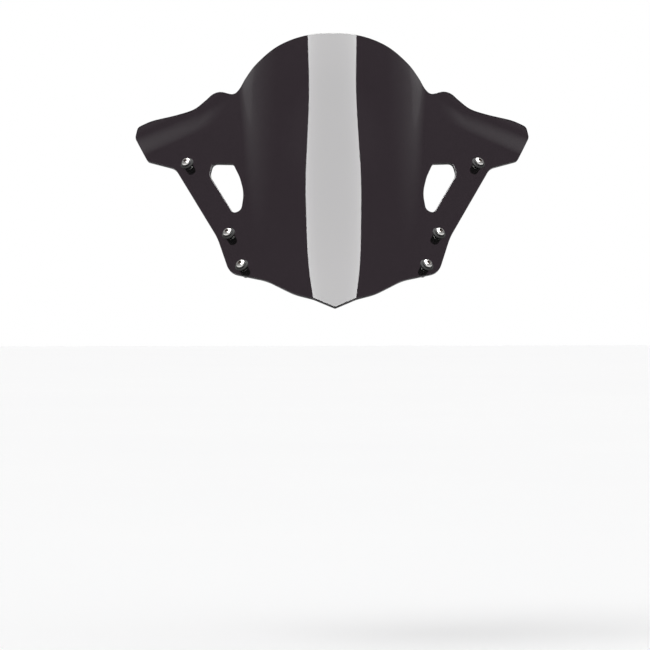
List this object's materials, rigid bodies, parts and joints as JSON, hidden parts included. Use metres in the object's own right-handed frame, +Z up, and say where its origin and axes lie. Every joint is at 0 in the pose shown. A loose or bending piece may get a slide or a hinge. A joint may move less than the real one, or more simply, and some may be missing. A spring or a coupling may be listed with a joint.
{
  "type": "motorcycle windshield screen",
  "caption": "Smoked acrylic windshield screen for a sport motorcycle, with a tall bubble, side wings, duct cut-outs and rubber well-nut fixings.",
  "frame": {"origin": "on the plane of symmetry, midway between the seats of the two middle fixings on the front face of the sheet", "axes": "+X to the right seen from the front (the rider's left), +Y to the rear of the motorcycle, +Z up, with the screen raked as it is when fitted"},
  "size_m": [0.4204, 0.2893, 0.2936],
  "materials": {
    "smoked_acrylic": "polished dark smoke acrylic, clear enough to see through against a bright background",
    "steel": "bright stainless steel",
    "nylon": "black moulded nylon, satin",
    "rubber": "black moulded rubber, matt",
    "brass": "turned brass"
  },
  "bodies": {
    "root": {"screen_panel": "smoked_acrylic", "screw_upper_left": "steel", "screw_upper_right": "steel", "screw_middle_left": "steel", "screw_middle_right": "steel", "screw_lower_left": "steel", "screw_lower_right": "steel", "washer_upper_left": "nylon", "washer_upper_right": "nylon", "washer_middle_left": "nylon", "washer_middle_right": "nylon", "washer_lower_left": "nylon", "washer_lower_right": "nylon", "well_nut_upper_left": "rubber", "well_nut_upper_right": "rubber", "well_nut_middle_left": "rubber", "well_nut_middle_right": "rubber", "well_nut_lower_left": "rubber", "well_nut_lower_right": "rubber", "threaded_insert_upper_left": "brass", "threaded_insert_upper_right": "brass", "threaded_insert_middle_left": "brass", "threaded_insert_middle_right": "brass", "threaded_insert_lower_left": "brass", "threaded_insert_lower_right": "brass"}
  },
  "joints": []
}
